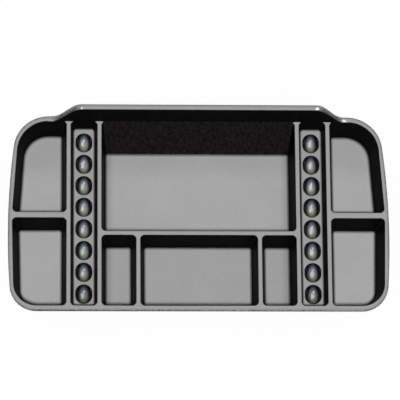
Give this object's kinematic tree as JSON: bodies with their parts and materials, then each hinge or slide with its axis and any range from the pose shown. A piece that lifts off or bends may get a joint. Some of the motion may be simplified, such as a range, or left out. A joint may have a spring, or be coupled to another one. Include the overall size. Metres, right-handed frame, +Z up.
{
  "type": "under-seat storage tray",
  "caption": "Shallow vacuum-formed storage tray with deep bays, two channels of oval ball cups and a back rim raised over most of its width.",
  "frame": {"origin": "on the plane that the tray stands on, under the middle of its outline", "axes": "+X across the vehicle along the tray's width, +Y towards the raised back rim, +Z up"},
  "size_m": [1.0228, 0.551, 0.169],
  "materials": {
    "textured_black_abs": "satin black plastic with a fine leather-like grain"
  },
  "bodies": {
    "root": {"tray": "textured_black_abs"}
  },
  "joints": []
}
